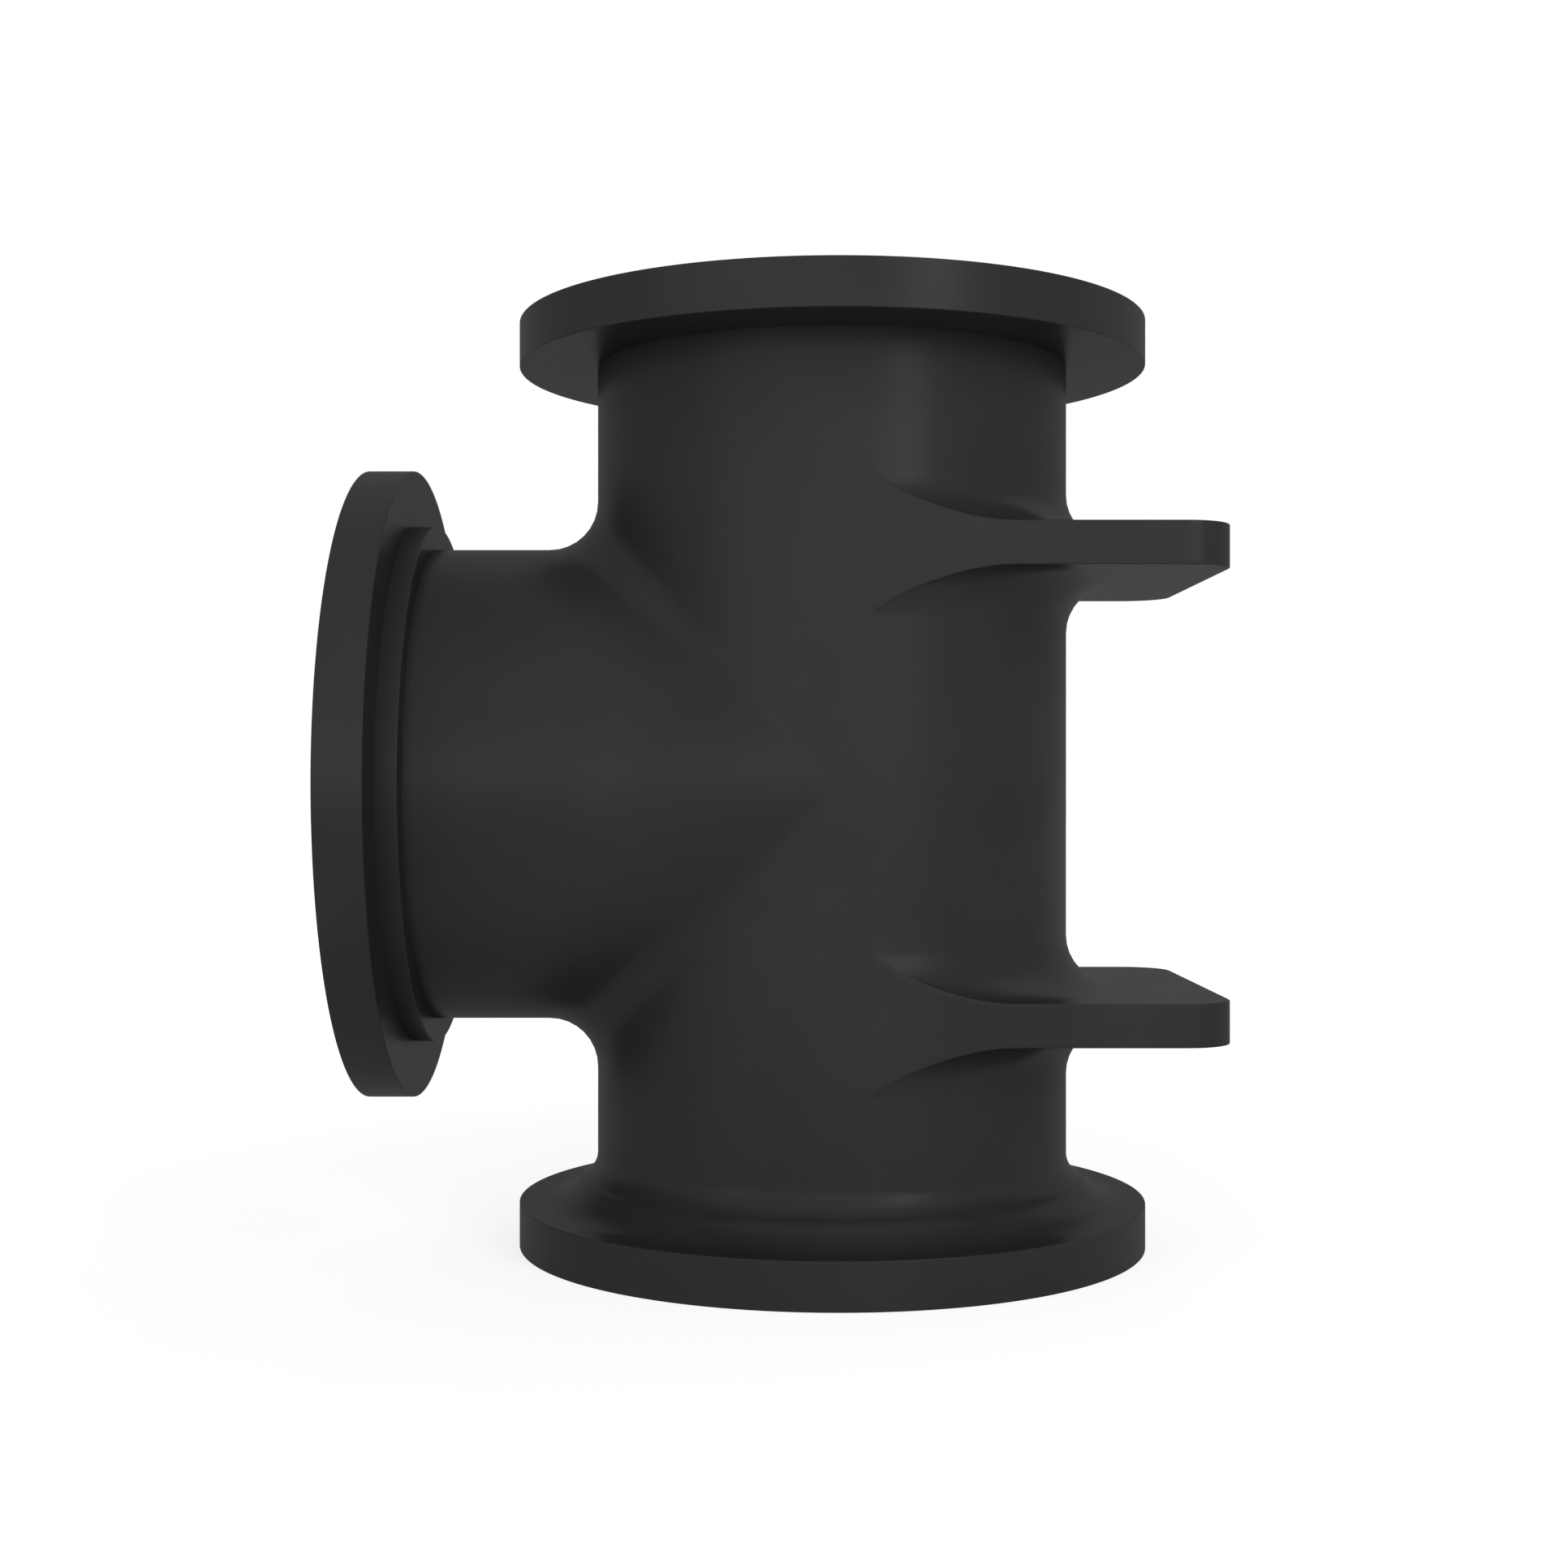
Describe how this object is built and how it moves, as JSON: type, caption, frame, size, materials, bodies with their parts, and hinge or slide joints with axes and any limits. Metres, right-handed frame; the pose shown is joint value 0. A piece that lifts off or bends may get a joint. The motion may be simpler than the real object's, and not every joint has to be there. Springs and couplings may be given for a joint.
{
  "type": "venturi tee",
  "caption": "Moulded plastic venturi tee with a flanged run, a flanged side branch, a jet nozzle inside the inlet, and flat ears on the side away from the branch.",
  "frame": {"origin": "centre of the inlet port face, on which the fitting stands", "axes": "+Z along the run from the inlet to the outlet, -X out of the branch port, +X towards the ears"},
  "size_m": [0.1084, 0.0824, 0.121],
  "materials": {
    "black_moulding": "as-moulded black glass-filled polypropylene, fine satin"
  },
  "bodies": {
    "root": {"tee_body": "black_moulding"}
  },
  "joints": []
}
